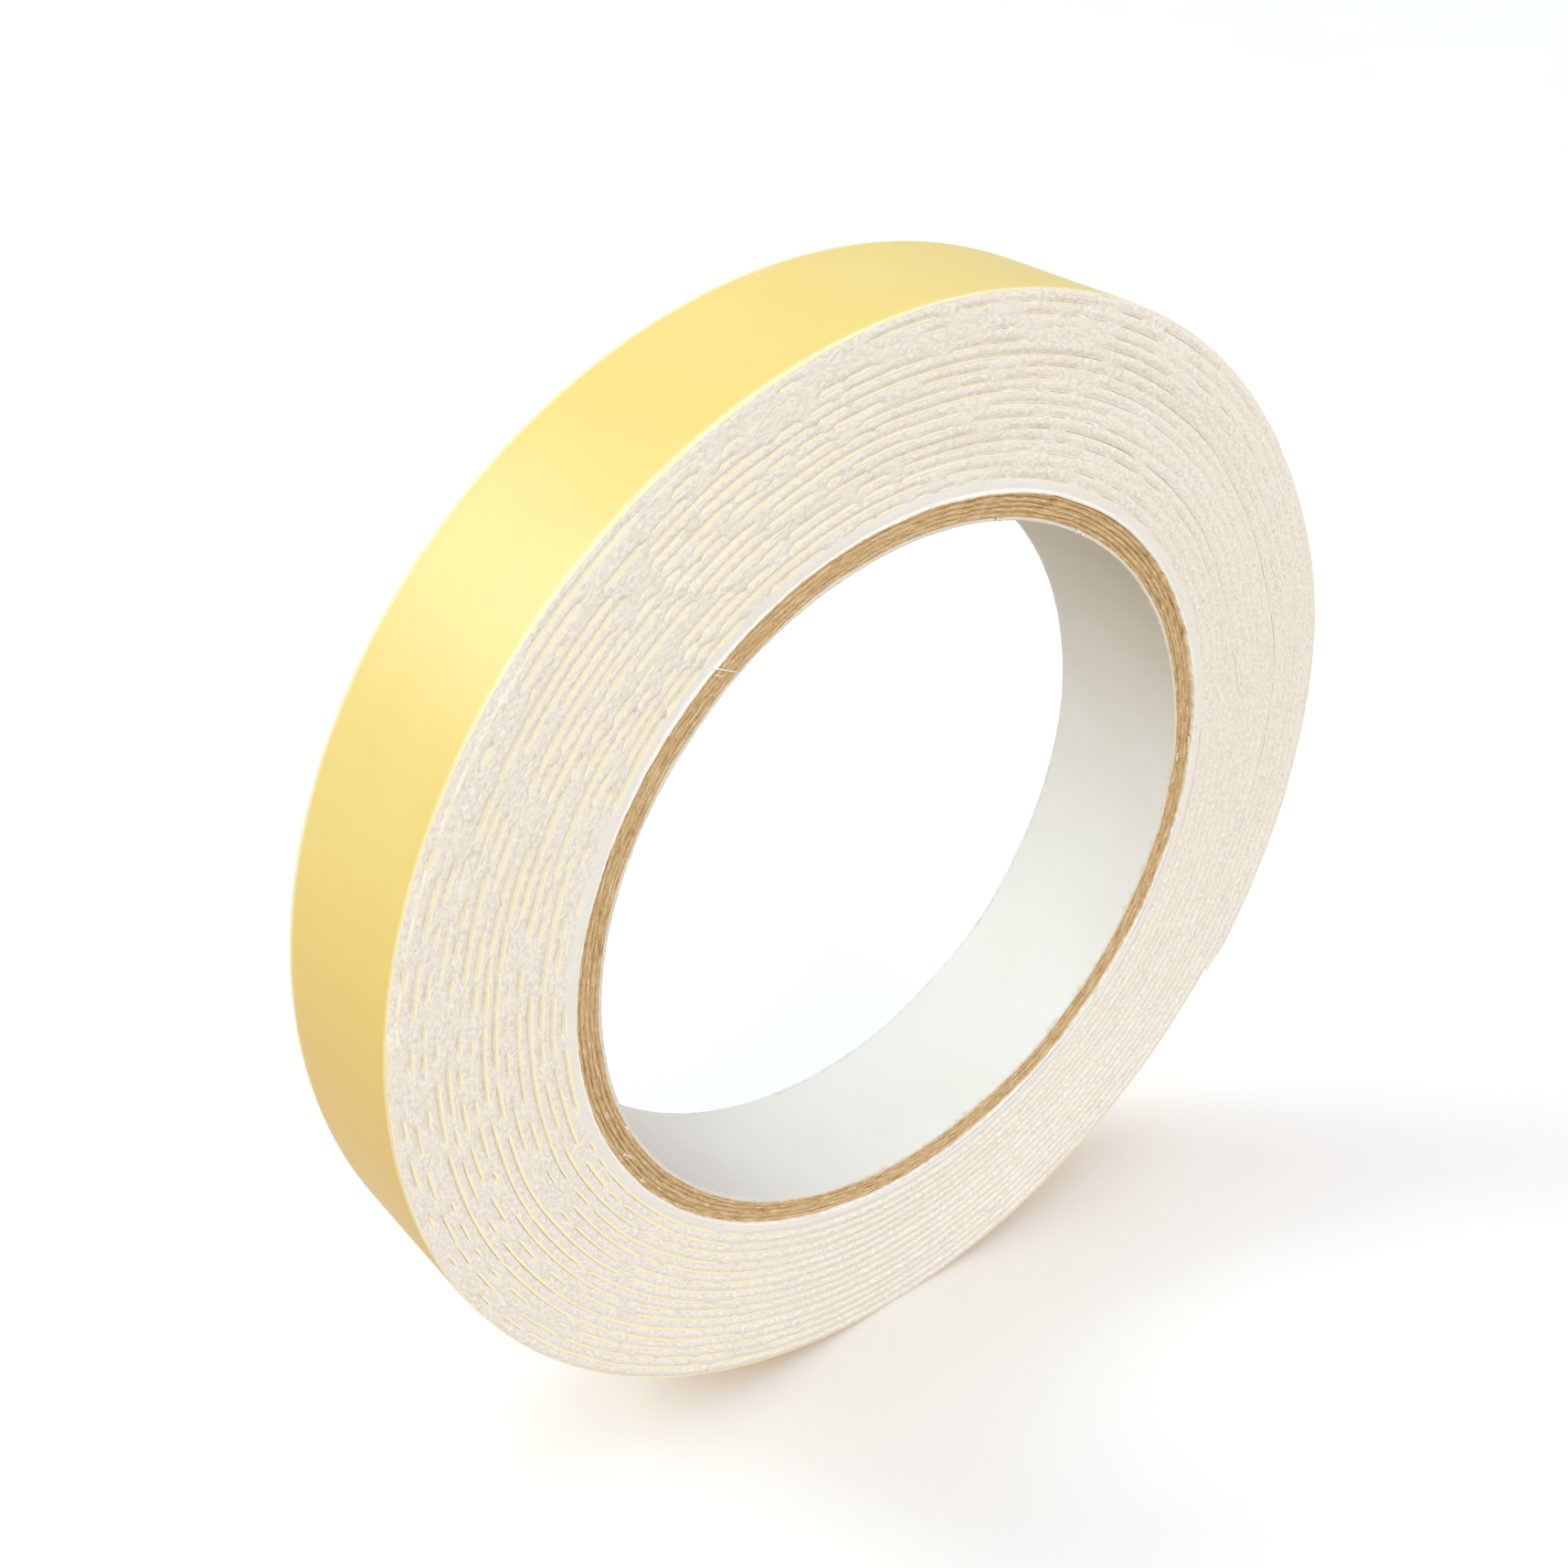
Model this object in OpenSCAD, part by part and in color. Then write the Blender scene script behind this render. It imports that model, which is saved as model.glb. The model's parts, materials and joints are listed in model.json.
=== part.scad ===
// Roll of double-sided foam tape with a release liner, wound on a paper core with a 3 inch bore.
// The roll stands on its rim. Its axis lies along Y through the origin, at the middle of the bore, and its
// front face looks towards -Y. Seen from the front, the tape winds clockwise from the core outwards.
// The outer end of the tape is split off where it lifts, and its liner where it peels.

/* [Core] */
// Radius of the bore
bore_r = 38.1; // [37:0.1:40]
// Thickness of the white paper that lines the bore
bore_ply_t = 0.35; // [0.2:0.05:0.6]
// Thickness of one brown ply
kraft_ply_t = 0.5; // [0.3:0.05:0.8]
// Number of brown plies
kraft_plies = 5; // [2:1:8]
// Thickness of the white paper wrapped round the core
wrap_ply_t = 0.3; // [0.1:0.05:0.5]
// How far each end of the core sits inside the edge of the tape
core_recess = 0.35; // [0:0.05:1]

/* [Tape] */
// Width of the tape
tape_w = 18; // [9:1:50]
// Thickness of the foam
foam_t = 0.92; // [0.5:0.02:1.6]
// Thickness of each adhesive film
adhesive_t = 0.08; // [0.04:0.01:0.15]
// Thickness of the paper release liner
liner_t = 0.1; // [0.06:0.01:0.2]
// Number of whole turns
turns = 16; // [4:1:30]
// Where the tape starts on the core, clockwise from the top
start_angle = 86.4; // [0:0.1:359]
// Where the tape ends, clockwise from its start
end_angle = 39; // [36:0.5:90]

/* [Free end] */
// Length of the outer end that lifts off the roll
tail_l = 30; // [20:1:32]
// Length of the lifted end over which the liner stays on the foam
liner_hold_l = 9; // [5:0.5:12]
// Clearance between pieces that move apart
part_gap = 0.05; // [0.02:0.01:0.1]
// Cut across the tape where a piece that moves begins
root_gap = 0.1; // [0.05:0.01:0.3]

/* [Hidden] */
$fn = 180;
// Radii of the core's plies
kraft_r = bore_r + bore_ply_t;
wrap_r = kraft_r + kraft_plies * kraft_ply_t;
core_r = wrap_r + wrap_ply_t;
core_w = tape_w - 2 * core_recess;
// Depths of the layers within one turn, measured from its inner face as [inner, outer]
inner_adhesive_d = [0, adhesive_t];
foam_d = [adhesive_t, adhesive_t + foam_t];
outer_adhesive_d = [foam_d[1], foam_d[1] + adhesive_t];
liner_d = [outer_adhesive_d[1], outer_adhesive_d[1] + liner_t];
pitch = liner_d[1];
// Each turn ends in a climb onto the one below: a flatter arc, then a tighter one, over equal angles.
// The sine and cosine of that angle are a 7-24-25 triangle's, so that every point where arcs meet is exact.
start_way = [1, 0];
climb_middle_way = [0.96, 0.28];
climb_start_way = [0.8432, 0.5376];
// Distance of both arcs' centres from the roll's axis
climb_offset = pitch / (2 * (1 - climb_middle_way[0]));
// Inner radius of the last, partial turn, and the angles past the start of the cuts across it
last_r = core_r + turns * pitch;
tail_angle = end_angle - degrees(tail_l);
hold_angle = tail_angle + degrees(liner_hold_l);
// Longer than any radius, for the wedges that cut rings into arcs
reach = 250;
// How much longer than the core the bore's cut is
overrun = 2;
// Colours
white_paper = "#F1F0EC";
kraft = "#C49C68";
foam = "#EFE7DB";
adhesive = "#F4EFDD";
liner_yellow = "#FAE596";

// Angle that an arc length covers on the last turn
function degrees(length) = length / last_r * 180 / PI;
// Direction from the axis at an angle past the start, which the drawing has along its X axis
function past_start(a) = [cos(a), -sin(a)];
// A layer's depths, moved outward
function raised(depths, by) = [for (d = depths) d + by];

// Tube of paper round the roll's axis
module ply(inner_r, thickness) {
    rotate([90, 0, 0])
        difference() {
            cylinder(r = inner_r + thickness, h = core_w, center = true);
            cylinder(r = inner_r, h = core_w + overrun, center = true);
        }
}

// Wedge with its point at the origin, between two directions less than a half turn apart
module wedge(way_1, way_2) {
    polygon([[0, 0], reach * way_1, reach * (way_1 + way_2), reach * way_2]);
}

// Flat ring of a layer whose turn has the inner radius r
module ring(r, depths) {
    difference() {
        circle(r + depths[1]);
        circle(r + depths[0]);
    }
}

// Arc of a layer round a centre, between two directions
module arc(centre, r, depths, way_1, way_2) {
    translate(centre)
        intersection() {
            ring(r, depths);
            wedge(way_1, way_2);
        }
}

// One whole turn of a layer: round from the start to the climb, then the climb's flatter and tighter arcs
module whole_turn(k, depths) {
    r = core_r + k * pitch;
    difference() {
        ring(r, depths);
        wedge(start_way, climb_start_way);
    }
    arc(-climb_offset * climb_start_way, r + climb_offset, depths, climb_start_way, climb_middle_way);
    arc(climb_offset * start_way, r + pitch - climb_offset, depths, climb_middle_way, start_way);
}

// Gives the drawing of the front face the tape's width, and stands it up with its start at the right angle
module across_tape() {
    rotate([90, 0, 0])
        rotate(90 - start_angle)
            linear_extrude(height = tape_w, center = true) children();
}

// A layer of the wound tape, from its start on the core to where the outer end lifts
module wound_layer(depths) {
    across_tape() {
        for (k = [0 : turns - 1]) whole_turn(k, depths);
        arc([0, 0], last_r, depths, start_way, past_start(tail_angle));
    }
}

// A layer of the outer end, between two angles past the start
module end_layer(depths, from, to) {
    across_tape() arc([0, 0], last_r, depths, past_start(from + degrees(root_gap)), past_start(to));
}

module bore_ply() {
    color(white_paper) ply(bore_r, bore_ply_t);
}

module kraft_ply(i) {
    color(kraft) ply(kraft_r + (i - 1) * kraft_ply_t, kraft_ply_t);
}

module wrap_ply() {
    color(white_paper) ply(wrap_r, wrap_ply_t);
}

module inner_adhesive() {
    color(adhesive) wound_layer(inner_adhesive_d);
}

module foam_strip() {
    color(foam) wound_layer(foam_d);
}

module outer_adhesive() {
    color(adhesive) wound_layer(outer_adhesive_d);
}

module release_liner() {
    color(liner_yellow) wound_layer(liner_d);
}

module tail_inner_adhesive() {
    color(adhesive) end_layer(raised(inner_adhesive_d, part_gap), tail_angle, end_angle);
}

module tail_foam() {
    color(foam) end_layer(raised(foam_d, part_gap), tail_angle, end_angle);
}

module tail_outer_adhesive() {
    color(adhesive) end_layer(raised(outer_adhesive_d, part_gap), tail_angle, end_angle);
}

module tail_liner() {
    color(liner_yellow) end_layer(raised(liner_d, part_gap), tail_angle, hold_angle);
}

module liner_flap() {
    color(liner_yellow) end_layer(raised(liner_d, 2 * part_gap), hold_angle, end_angle);
}

bore_ply();
for (i = [1 : kraft_plies])
    kraft_ply(i);
wrap_ply();
inner_adhesive();
foam_strip();
outer_adhesive();
release_liner();
tail_inner_adhesive();
tail_foam();
tail_outer_adhesive();
tail_liner();
liner_flap();
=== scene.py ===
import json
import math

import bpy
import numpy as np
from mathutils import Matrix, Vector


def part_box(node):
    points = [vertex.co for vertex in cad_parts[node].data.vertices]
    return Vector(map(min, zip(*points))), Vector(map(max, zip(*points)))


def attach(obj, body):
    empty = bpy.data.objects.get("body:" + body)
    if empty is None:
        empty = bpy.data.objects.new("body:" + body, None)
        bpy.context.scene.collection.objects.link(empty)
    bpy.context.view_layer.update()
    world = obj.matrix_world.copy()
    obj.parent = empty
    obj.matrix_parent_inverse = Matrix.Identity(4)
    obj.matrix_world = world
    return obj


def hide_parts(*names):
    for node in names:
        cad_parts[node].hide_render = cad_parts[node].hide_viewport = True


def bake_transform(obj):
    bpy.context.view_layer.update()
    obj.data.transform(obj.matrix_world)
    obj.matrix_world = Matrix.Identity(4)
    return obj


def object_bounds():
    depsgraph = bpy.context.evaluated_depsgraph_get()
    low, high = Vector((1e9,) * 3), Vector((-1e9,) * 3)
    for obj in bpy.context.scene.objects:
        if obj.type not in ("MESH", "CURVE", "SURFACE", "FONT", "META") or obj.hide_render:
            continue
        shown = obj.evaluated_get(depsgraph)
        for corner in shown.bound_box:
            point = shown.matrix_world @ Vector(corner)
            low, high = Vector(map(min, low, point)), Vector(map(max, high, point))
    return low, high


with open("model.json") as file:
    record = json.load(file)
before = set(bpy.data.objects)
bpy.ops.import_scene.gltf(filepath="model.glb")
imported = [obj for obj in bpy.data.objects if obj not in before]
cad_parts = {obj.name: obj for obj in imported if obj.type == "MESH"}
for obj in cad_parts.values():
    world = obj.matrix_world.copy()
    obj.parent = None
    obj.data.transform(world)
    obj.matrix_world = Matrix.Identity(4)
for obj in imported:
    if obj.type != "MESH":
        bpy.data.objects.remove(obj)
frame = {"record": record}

# Looks of a roll of double-sided foam tape with a yellow release liner, wound on a paper core.
# The roll stands on its rim with its axis along Y. Angles go clockwise from the top, seen from the front
# face, which looks towards -Y. Lengths are in millimetres until a mesh is made. Along the tape, everything
# follows the arc length from where the tape starts on the core.

MM = 0.001
cad_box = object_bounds()


# ---------------------------------------------------------------- sizes from the frame

def outer_reach(node):
    """Largest distance of a node from the roll's axis, at the roll's left, where every turn is round."""
    return -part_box(node)[0].x / MM


def hinge_at(name):
    """Where a joint's axis crosses the middle of the tape's width."""
    joint = next(j for j in frame["record"]["behaviour"]["joints"] if j["name"] == name)
    return Vector(joint["pos_m"])


def clockwise_angle(point):
    """Angle of a point seen from the front, clockwise from the top."""
    return math.atan2(point.x, point.z)


BORE_R = frame["record"]["mounts"][0]["dims"]["r_mm"]
CORE_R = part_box("wrap_ply")[1].x / MM
TAPE_HALF_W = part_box("release_liner")[1].y / MM
CORE_HALF_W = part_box("bore_ply")[1].y / MM
TURNS = 16
PITCH = (outer_reach("release_liner") - CORE_R) / TURNS
LAST_TURN_R = CORE_R + (TURNS - 1) * PITCH
# Depth of each layer's outer face within one turn
ADHESIVE_1_TOP = outer_reach("inner_adhesive") - LAST_TURN_R
FOAM_TOP = outer_reach("foam_strip") - LAST_TURN_R
ADHESIVE_2_TOP = outer_reach("outer_adhesive") - LAST_TURN_R
KRAFT = [f"kraft_ply_{i}" for i in range(1, 6)]

# Where the tape starts on the core, and how far past that its outer end lifts, peels and stops
START = math.radians(86.4)
TAIL_HINGE, PEEL_HINGE = hinge_at("tail_lift"), hinge_at("liner_peel")
TAIL_PAST = clockwise_angle(TAIL_HINGE) - START
PEEL_PAST = clockwise_angle(PEEL_HINGE) - START
END_PAST = math.radians(39)
# Angle over which a turn climbs onto the one below, at the core and at the rim
FIRST_CLIMB, LAST_CLIMB = math.radians(6), math.radians(32)
# Arc length over which the free end and its liner would bend when they lift; they are built unbent
TAIL_BEND, PEEL_BEND = 8.0, 5.0


# ---------------------------------------------------------------- smooth random fields

def ease(x):
    """Smooth step from 0 to 1, level outside them."""
    x = np.clip(x, 0, 1)
    return x * x * (3 - 2 * x)


def noise_field(seed, columns, rows=1):
    """Smooth random values between -1 and 1 over cells of size 1, which repeat after columns by rows."""
    grid = np.random.default_rng(seed).uniform(-1, 1, (rows, columns))

    def at(x, y=0.0):
        x, y = np.broadcast_arrays(np.asarray(x, float), np.asarray(y, float))
        i, j = np.floor(x).astype(int), np.floor(y).astype(int)
        across, up = ease(x - i), ease(y - j)
        i0, i1, j0, j1 = i % columns, (i + 1) % columns, j % rows, (j + 1) % rows
        low = grid[j0, i0] * (1 - across) + grid[j0, i1] * across
        high = grid[j1, i0] * (1 - across) + grid[j1, i1] * across
        return low * (1 - up) + high * up

    return at


# ---------------------------------------------------------------- the wound path

def wound_radius(angle):
    """Inner radius of the tape where it has turned through this angle since its start."""
    turn = np.floor(angle / (2 * np.pi))
    past = angle - 2 * np.pi * turn
    climb = FIRST_CLIMB + (LAST_CLIMB - FIRST_CLIMB) * turn / (TURNS - 1)
    return CORE_R + PITCH * (turn + ease((past - 2 * np.pi + climb) / climb))


ANGLES = np.linspace(0, 2 * np.pi * TURNS + END_PAST, 40001)
LENGTHS = np.concatenate([[0], np.cumsum(wound_radius((ANGLES[1:] + ANGLES[:-1]) / 2) * np.diff(ANGLES))])


def length_at(past_last_turn):
    """Arc length of the tape up to an angle past the start, on the last turn."""
    return float(np.interp(2 * np.pi * TURNS + past_last_turn, ANGLES, LENGTHS))


TAIL_S, PEEL_S, END_S = length_at(TAIL_PAST), length_at(PEEL_PAST), float(LENGTHS[-1])

# Most random fields come in pairs, -1 for the front of the roll and 1 for its back.
# Cells of the fields for drift and relief: round the roll, and from the core out to the rim
DRIFT_CELLS, RELIEF_CELLS = 40, 9
DRIFT_OUT, RELIEF_OUT = 8, 5
radial_drift = {-1: noise_field(11, DRIFT_CELLS, 9), 1: noise_field(12, DRIFT_CELLS, 9)}
face_relief = {-1: noise_field(13, RELIEF_CELLS, 6), 1: noise_field(14, RELIEF_CELLS, 6)}
turn_shift = noise_field(15, 53)

# How far lines on the face wander from true circles, and how far turns and areas stand in or out
RADIAL_DRIFT, TURN_SHIFT, FACE_RELIEF = 0.16, 0.06, 0.16
# Cells of the turns' shift to one turn
SHIFT_CELLS = 2.3
# Over what length the outer end is pressed thinner, and by what share
PRESSED_L, PRESSED = 4.0, 0.5
# A nick in the outermost turn's front edge, where it is, how deep, and where it has eased out again
NICK_AT, NICK_EASED, NICK_DEPTH = math.radians(278.8), math.radians(350), 0.35


def shape_at(s):
    """Angle clockwise from the top, inner radius, and depth of that radius into the roll from 0 to 1."""
    angle = np.interp(s, LENGTHS, ANGLES)
    r = wound_radius(angle)
    return START + angle, r, (r - CORE_R) / (PITCH * TURNS)


def place(s, depth, y):
    """Points of the tape at arc lengths s, at depths into the turn and at y across the width."""
    angle, r, share = (a[:, None] for a in shape_at(s))
    depth = depth * (1 - PRESSED * ease((s - END_S + PRESSED_L) / PRESSED_L))[:, None]
    share = np.clip(share + depth / (PITCH * TURNS), 0, 1)
    back = (y / TAPE_HALF_W + 1) / 2
    cells = angle / (2 * np.pi) * DRIFT_CELLS, share * DRIFT_OUT
    drift = radial_drift[-1](*cells) * (1 - back) + radial_drift[1](*cells) * back
    r = r + depth + RADIAL_DRIFT * drift * np.sin(np.pi * share)
    return np.stack([r * np.sin(angle), y + 0 * r, r * np.cos(angle)], axis=-1)


def shift_of_turn(angle):
    """How far the whole tape has slid sideways where it is at this angle."""
    return TURN_SHIFT * turn_shift(angle / (2 * np.pi) * SHIFT_CELLS)


def edge_y(s, side, depth):
    """Where a cut edge lies across the width, at depths into the turn. Side -1 is in front, 1 behind."""
    angle, _, share = (a[:, None] for a in shape_at(s))
    share = share + depth / (PITCH * TURNS)
    y = side * TAPE_HALF_W + shift_of_turn(angle)
    relief = face_relief[side](angle / (2 * np.pi) * RELIEF_CELLS, share * RELIEF_OUT)
    y = y - side * FACE_RELIEF * (0.5 + relief)
    if side < 0:
        outermost = angle - START > 2 * np.pi * (TURNS - 1)
        around = angle % (2 * np.pi)
        nick = (around > NICK_AT) * (1 - ease((around - NICK_AT) / (NICK_EASED - NICK_AT)))
        y = y + NICK_DEPTH * nick * outermost
    return y


# ---------------------------------------------------------------- how foam and liner meet at the cut edge

closing = {
    -1: (noise_field(21, 1709), noise_field(22, 331)),
    1: (noise_field(23, 1709), noise_field(24, 331)),
}
groove_level = {-1: noise_field(25, 3011), 1: noise_field(26, 3011)}
gape = {-1: noise_field(31, 997), 1: noise_field(32, 997)}
lumps = {-1: noise_field(33, 5003, 7), 1: noise_field(34, 5003, 7)}
pillows = {-1: noise_field(35, 1999), 1: noise_field(36, 1999)}

# Radius at which lengths round the roll are measured for what happens in the grooves
GROOVE_R = 51.0
# Lengths of the short and long waves in how far grooves close, and how much each wave counts
SHORT_WAVE, LONG_WAVE, SHORT_SHARE, LONG_SHARE = 1.7, 11.0, 2.4, 1.2
# Lengths of the waves in how deep grooves gape, in the foam's level, and of its lumps and swellings
GAPE_WAVE, LEVEL_WAVE, LUMP, PILLOW = 3.0, 1.5, 0.95, 3.4
# How closed grooves are on average round the roll, how much that swings, and its limits
CLOSED_MEAN, CLOSED_SWING, LEAST_CLOSED, MOST_CLOSED = -1.25, 0.75, -1.6, -0.7
# How far foam that closes a groove reaches over its neighbour, and stands proud of the liner's edge
REACH, PROUD = 0.07, 0.04
# How far bare foam lies behind the liner's edge: everywhere, and more on its inner and outer side
RECESS, RECESS_IN, RECESS_OUT = 0.02, 0.62, 0.08
# Angles in degrees at which grooves close most, at which bare foam lies deepest on its inner and on its
# outer side, and at which the foam swells out between soft valleys
CLOSED_AT, LOOSE_IN_AT, LOOSE_OUT_AT, VALLEY_AT = 325, 310, 190, 150
# The outer turns are pressed together at the upper left: from which share of the roll's depth, over how
# much of it that begins, at which angle, and how strongly
SEALED_SHARE, SEALED_OVER, SEALED_AT, SEALED = 0.80, 0.05, 310, 1.3


def looseness(angle, worst):
    """From 0 to 1 round the roll, with 1 at one angle in degrees and 0 across from it."""
    return 0.5 + 0.5 * np.cos(angle - math.radians(worst))


def groove(turned, side):
    """State of the groove at the tape's inner side, where the tape has turned this far since its start.

    Gives how far it has closed, from 0 to 1, and how far its level lies in or out. The first turn closes
    on the core, and nothing lies beyond the outermost turn."""
    angle, round_it = START + turned, turned * GROOVE_R
    share = turned / (2 * np.pi * TURNS)
    short, long = closing[side]
    mean = CLOSED_MEAN + CLOSED_SWING * np.cos(angle - math.radians(CLOSED_AT))
    mean = np.clip(mean, LEAST_CLOSED, MOST_CLOSED)
    facing = np.clip(2 * np.cos(angle - math.radians(SEALED_AT)), 0, 1)
    sealed = ease((share - SEALED_SHARE) / SEALED_OVER) * facing
    waves = SHORT_SHARE * short(round_it / SHORT_WAVE) + LONG_SHARE * long(round_it / LONG_WAVE)
    closed = ease(0.5 + mean + SEALED * sealed + waves)
    closed = np.where(turned < 2 * np.pi, 1.0, np.where(turned > ANGLES[-1], 0.0, closed))
    return closed, groove_level[side](round_it / LEVEL_WAVE)


# Shares of the foam's thickness at which its cut edge has rows of points: a corner, lip, face, lip, corner
FOAM_SHARES = np.array([0, 0.0, 0.16, 0.5, 0.84, 1.0, 1])
# How far the corners lie behind the lips, and how high lumps, changes of level and swellings are
CORNER_DEPTH, LUMP_HEIGHT, LEVEL_HEIGHT, PILLOW_HEIGHT = 0.3, 0.03, 0.02, 0.03
# How far lumps push the rows of points aside
LUMP_SHIFT = 0.04
# How far the middle of the foam bulges: everywhere, and more where the grooves are soft valleys
BULGE, VALLEY_BULGE = 0.06, 0.12


def grooves_beside(s, side):
    """States of the grooves at the inner and outer side of the tape, at arc lengths s."""
    turned = shape_at(s)[0] - START
    return groove(turned, side), groove(turned + 2 * np.pi, side)


def foam_lips(s, side):
    """How far the inner and outer lips of the foam's cut edge lie behind the liner's edge."""
    angle = shape_at(s)[0]
    (closed_in, level_in), (closed_out, level_out) = grooves_beside(s, side)
    gaping = 0.8 + 0.2 * gape[side](s / GAPE_WAVE)
    bare_out = RECESS + RECESS_OUT * looseness(angle, LOOSE_OUT_AT) ** 6 * gaping
    bare_in = RECESS + RECESS_IN * looseness(angle, LOOSE_IN_AT) ** 3 * gaping + 0.5 * bare_out
    # Where a groove has closed, the foam on both sides meets halfway between the two turns' edges
    own = shift_of_turn(angle)
    half_in = side * (own - shift_of_turn(angle - 2 * np.pi)) / 2
    half_out = side * (own - shift_of_turn(angle + 2 * np.pi)) / 2
    lip_in = bare_in * (1 - closed_in) + (half_in - PROUD) * closed_in + LEVEL_HEIGHT * level_in
    lip_out = bare_out * (1 - closed_out) + (half_out - PROUD) * closed_out + LEVEL_HEIGHT * level_out
    return lip_in, lip_out


def foam_edge(s, side):
    """Depths into the turn and places across the width of the foam's cut edge, from its inner side on."""
    angle, r, _ = shape_at(s)
    turned = angle - START
    (closed_in, _), (closed_out, _) = grooves_beside(s, side)
    lip_in, lip_out = foam_lips(s, side)
    valley = looseness(angle, VALLEY_AT) ** 2
    crown = -(BULGE + VALLEY_BULGE * valley + PILLOW_HEIGHT * pillows[side](s / PILLOW))
    depth = np.outer(np.ones(len(s)), ADHESIVE_1_TOP + FOAM_SHARES * (FOAM_TOP - ADHESIVE_1_TOP))
    # Where the tape climbs, its foam also fills the space that opens between it and the turn below
    turn_below = wound_radius(turned - 2 * np.pi) + PITCH
    depth[:, 1] = np.where(turned < 2 * np.pi, CORE_R - r, turn_below - REACH * closed_in - r)
    depth[:, 5] = ADHESIVE_2_TOP + REACH * closed_out
    behind = np.stack([
        lip_in + CORNER_DEPTH,
        lip_in,
        0.6 * crown + 0.4 * lip_in,
        crown,
        0.6 * crown + 0.4 * lip_out,
        lip_out,
        lip_out + CORNER_DEPTH,
    ], axis=1)
    for row in (2, 3, 4):
        behind[:, row] += LUMP_HEIGHT * (1 - 0.6 * valley) * lumps[side](s / LUMP, row * 1.3)
        depth[:, row] += LUMP_SHIFT * lumps[side](s / LUMP + 40, row * 1.7)
    return depth, edge_y(s, side, depth) - side * behind


# ---------------------------------------------------------------- meshes

# The share of a baked picture's height that is kept for a strip's two end faces
CAP_BAND = 0.02


def strip_faces(sections, points, closed):
    """Quads between neighbouring sections of a tube-like strip, wound so that they face outwards."""
    i = np.arange(sections if closed else sections - 1)[:, None]
    j = np.arange(points)[None, :]
    following, beside = (i + 1) % sections, (j + 1) % points
    corners = [i * points + j, following * points + j, following * points + beside, i * points + beside]
    return np.stack(np.broadcast_arrays(*corners), axis=-1).reshape(-1, 4)


def bake_layout(steps, sides, rows):
    """Places of the corners of a strip's faces in the picture that it is baked to.

    rows lists (number of steps, height, shares): the strip is cut into rows of steps, stacked up the
    picture, and each side of its profile gets a share of its row's height."""
    scale = (1 - CAP_BAND) / sum(height for _, height, _ in rows)
    u, v = np.zeros((steps, 2)), np.zeros((steps, sides, 2))
    first, low = 0, 0.0
    for count, height, row_shares in rows:
        count = min(count, steps - first)
        index = np.arange(count)
        u[first:first + count] = np.stack([index, index + 1], axis=1) / count
        tops = np.concatenate([[0], np.cumsum(row_shares)]) / np.sum(row_shares)
        v[first:first + count] = low + height * scale * np.stack([tops[:-1], tops[1:]], axis=1)
        first, low = first + count, low + height * scale
    u = np.broadcast_to(u[:, None, :], v.shape)
    return corners_of(u[..., 0], u[..., 1], v[..., 0], v[..., 1])


def corners_of(left, right, low, high):
    """The corners of rectangles, one row of (x, y) for each corner."""
    return np.stack([left, low, right, low, right, high, left, high], axis=-1).reshape(-1, 2)


def cap_layout(section, place_in_band):
    """Places of an end face's corners in the baked picture: beside the other's, above all rows."""
    across = (section[:, 1] + TAPE_HALF_W) / (2 * TAPE_HALF_W) * 0.4 + 0.05 + 0.5 * place_in_band
    radius = np.hypot(section[:, 0], section[:, 2])
    up = 1 - CAP_BAND * (0.1 + 0.6 * (radius - radius.min()) / PITCH)
    return np.stack([across, up], axis=1)


def along_layout(profile, along, steps):
    """How far the corners of a strip's faces are along and round the strip, in millimetres."""
    sides = np.linalg.norm(np.roll(profile, -1, axis=0) - profile, axis=1)
    round_it = np.concatenate([[0], np.cumsum(sides)])
    ends = np.append(along, along[-1] + (along[1] - along[0]))[:steps + 1]
    start, low = np.meshgrid(ends[:-1], round_it[:-1], indexing="ij")
    stop, high = np.meshgrid(ends[1:], round_it[1:], indexing="ij")
    return corners_of(start, stop, low, high)


def mark_flat(mesh, flat):
    """Makes some of a mesh's faces flat, with sharp edges round them, and the others smooth."""
    mesh.polygons.foreach_set("use_smooth", ~flat)
    corner_edges = np.zeros(len(mesh.loops), int)
    mesh.loops.foreach_get("edge_index", corner_edges)
    face_sizes = np.zeros(len(mesh.polygons), int)
    mesh.polygons.foreach_get("loop_total", face_sizes)
    sharp = np.zeros(len(mesh.edges), bool)
    sharp[corner_edges[np.repeat(flat, face_sizes)]] = True
    mesh.edges.foreach_set("use_edge_sharp", sharp)


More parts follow.
